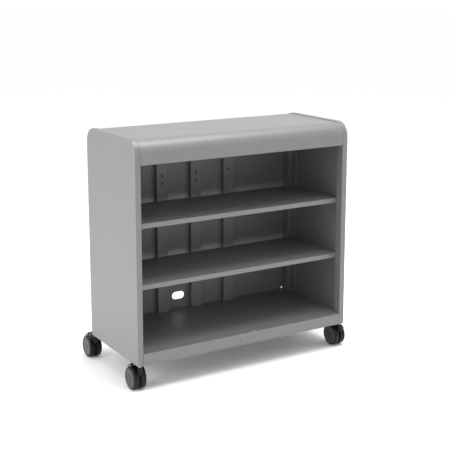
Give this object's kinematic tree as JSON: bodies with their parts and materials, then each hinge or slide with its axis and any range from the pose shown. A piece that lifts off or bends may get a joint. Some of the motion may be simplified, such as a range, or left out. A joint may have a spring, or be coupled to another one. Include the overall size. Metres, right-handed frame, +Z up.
{
  "type": "book cart",
  "caption": "Mobile steel bookcase with a rounded top, open front, adjustable shelves on slotted posts and twin-wheel casters.",
  "frame": {"origin": "on the floor, at the centre of the cart's footprint with its casters trailing to the rear", "axes": "+X to the right along the cart's length, seen from its open front; +Y from the open front to the back panel; +Z up"},
  "size_m": [1.0744, 0.5344, 1.032],
  "materials": {
    "painted_steel": "satin",
    "zinc_plate": "satin",
    "hood_nylon": "satin",
    "wheel_grey": "satin",
    "tread_black": "matte"
  },
  "bodies": {
    "case": {"left_side_panel": "painted_steel", "right_side_panel": "painted_steel", "top_panel": "painted_steel", "deck": "painted_steel", "back_panel": "painted_steel", "left_back_column": "painted_steel", "middle_back_column": "painted_steel", "right_back_column": "painted_steel", "front_left_post": "painted_steel", "front_right_post": "painted_steel", "rear_left_post": "painted_steel", "rear_right_post": "painted_steel", "lower_shelf": "painted_steel", "upper_shelf": "painted_steel", "lower_shelf_front_left_clip": "zinc_plate", "lower_shelf_front_right_clip": "zinc_plate", "lower_shelf_rear_left_clip": "zinc_plate", "lower_shelf_rear_right_clip": "zinc_plate", "upper_shelf_front_left_clip": "zinc_plate", "upper_shelf_front_right_clip": "zinc_plate", "upper_shelf_rear_left_clip": "zinc_plate", "upper_shelf_rear_right_clip": "zinc_plate", "front_left_stem_socket": "zinc_plate", "front_left_stem": "zinc_plate", "front_right_stem_socket": "zinc_plate", "front_right_stem": "zinc_plate", "rear_left_stem_socket": "zinc_plate", "rear_left_stem": "zinc_plate", "rear_right_stem_socket": "zinc_plate", "rear_right_stem": "zinc_plate"},
    "front_left_caster": {"front_left_hood": "hood_nylon", "front_left_axle": "zinc_plate"},
    "front_left_left_wheel": {"front_left_left_hub": "wheel_grey", "front_left_left_tread": "tread_black"},
    "front_left_right_wheel": {"front_left_right_hub": "wheel_grey", "front_left_right_tread": "tread_black"},
    "front_left_pedal": {"front_left_brake_pedal": "hood_nylon"},
    "front_right_caster": {"front_right_hood": "hood_nylon", "front_right_axle": "zinc_plate"},
    "front_right_left_wheel": {"front_right_left_hub": "wheel_grey", "front_right_left_tread": "tread_black"},
    "front_right_right_wheel": {"front_right_right_hub": "wheel_grey", "front_right_right_tread": "tread_black"},
    "front_right_pedal": {"front_right_brake_pedal": "hood_nylon"},
    "rear_left_caster": {"rear_left_hood": "hood_nylon", "rear_left_axle": "zinc_plate"},
    "rear_left_left_wheel": {"rear_left_left_hub": "wheel_grey", "rear_left_left_tread": "tread_black"},
    "rear_left_right_wheel": {"rear_left_right_hub": "wheel_grey", "rear_left_right_tread": "tread_black"},
    "rear_left_pedal": {"rear_left_brake_pedal": "hood_nylon"},
    "rear_right_caster": {"rear_right_hood": "hood_nylon", "rear_right_axle": "zinc_plate"},
    "rear_right_left_wheel": {"rear_right_left_hub": "wheel_grey", "rear_right_left_tread": "tread_black"},
    "rear_right_right_wheel": {"rear_right_right_hub": "wheel_grey", "rear_right_right_tread": "tread_black"},
    "rear_right_pedal": {"rear_right_brake_pedal": "hood_nylon"}
  },
  "joints": [
    {"name": "front_left_swivel", "type": "hinge", "parent": "case", "child": "front_left_caster", "pos_m": [-0.5075, -0.25567, 0.0957], "axis": [0, 0, 1], "continuous": true},
    {"name": "front_left_left_wheel_spin", "type": "hinge", "parent": "front_left_caster", "child": "front_left_left_wheel", "pos_m": [-0.5075, -0.21667, 0.047], "axis": [1, 0, 0], "continuous": true},
    {"name": "front_left_right_wheel_spin", "type": "hinge", "parent": "front_left_caster", "child": "front_left_right_wheel", "pos_m": [-0.5075, -0.21667, 0.047], "axis": [1, 0, 0], "continuous": true},
    {"name": "front_left_brake", "type": "hinge", "parent": "front_left_caster", "child": "front_left_pedal", "pos_m": [-0.5075, -0.1947, 0.09753], "axis": [-1, 0, 0], "range_deg": [0, 12]},
    {"name": "front_right_swivel", "type": "hinge", "parent": "case", "child": "front_right_caster", "pos_m": [0.5075, -0.25567, 0.0957], "axis": [0, 0, 1], "continuous": true},
    {"name": "front_right_left_wheel_spin", "type": "hinge", "parent": "front_right_caster", "child": "front_right_left_wheel", "pos_m": [0.5075, -0.21667, 0.047], "axis": [1, 0, 0], "continuous": true},
    {"name": "front_right_right_wheel_spin", "type": "hinge", "parent": "front_right_caster", "child": "front_right_right_wheel", "pos_m": [0.5075, -0.21667, 0.047], "axis": [1, 0, 0], "continuous": true},
    {"name": "front_right_brake", "type": "hinge", "parent": "front_right_caster", "child": "front_right_pedal", "pos_m": [0.5075, -0.1947, 0.09753], "axis": [-1, 0, 0], "range_deg": [0, 12]},
    {"name": "rear_left_swivel", "type": "hinge", "parent": "case", "child": "rear_left_caster", "pos_m": [-0.5075, 0.17933, 0.0957], "axis": [0, 0, 1], "continuous": true},
    {"name": "rear_left_left_wheel_spin", "type": "hinge", "parent": "rear_left_caster", "child": "rear_left_left_wheel", "pos_m": [-0.5075, 0.21833, 0.047], "axis": [1, 0, 0], "continuous": true},
    {"name": "rear_left_right_wheel_spin", "type": "hinge", "parent": "rear_left_caster", "child": "rear_left_right_wheel", "pos_m": [-0.5075, 0.21833, 0.047], "axis": [1, 0, 0], "continuous": true},
    {"name": "rear_left_brake", "type": "hinge", "parent": "rear_left_caster", "child": "rear_left_pedal", "pos_m": [-0.5075, 0.2403, 0.09753], "axis": [-1, 0, 0], "range_deg": [0, 12]},
    {"name": "rear_right_swivel", "type": "hinge", "parent": "case", "child": "rear_right_caster", "pos_m": [0.5075, 0.17933, 0.0957], "axis": [0, 0, 1], "continuous": true},
    {"name": "rear_right_left_wheel_spin", "type": "hinge", "parent": "rear_right_caster", "child": "rear_right_left_wheel", "pos_m": [0.5075, 0.21833, 0.047], "axis": [1, 0, 0], "continuous": true},
    {"name": "rear_right_right_wheel_spin", "type": "hinge", "parent": "rear_right_caster", "child": "rear_right_right_wheel", "pos_m": [0.5075, 0.21833, 0.047], "axis": [1, 0, 0], "continuous": true},
    {"name": "rear_right_brake", "type": "hinge", "parent": "rear_right_caster", "child": "rear_right_pedal", "pos_m": [0.5075, 0.2403, 0.09753], "axis": [-1, 0, 0], "range_deg": [0, 12]}
  ]
}
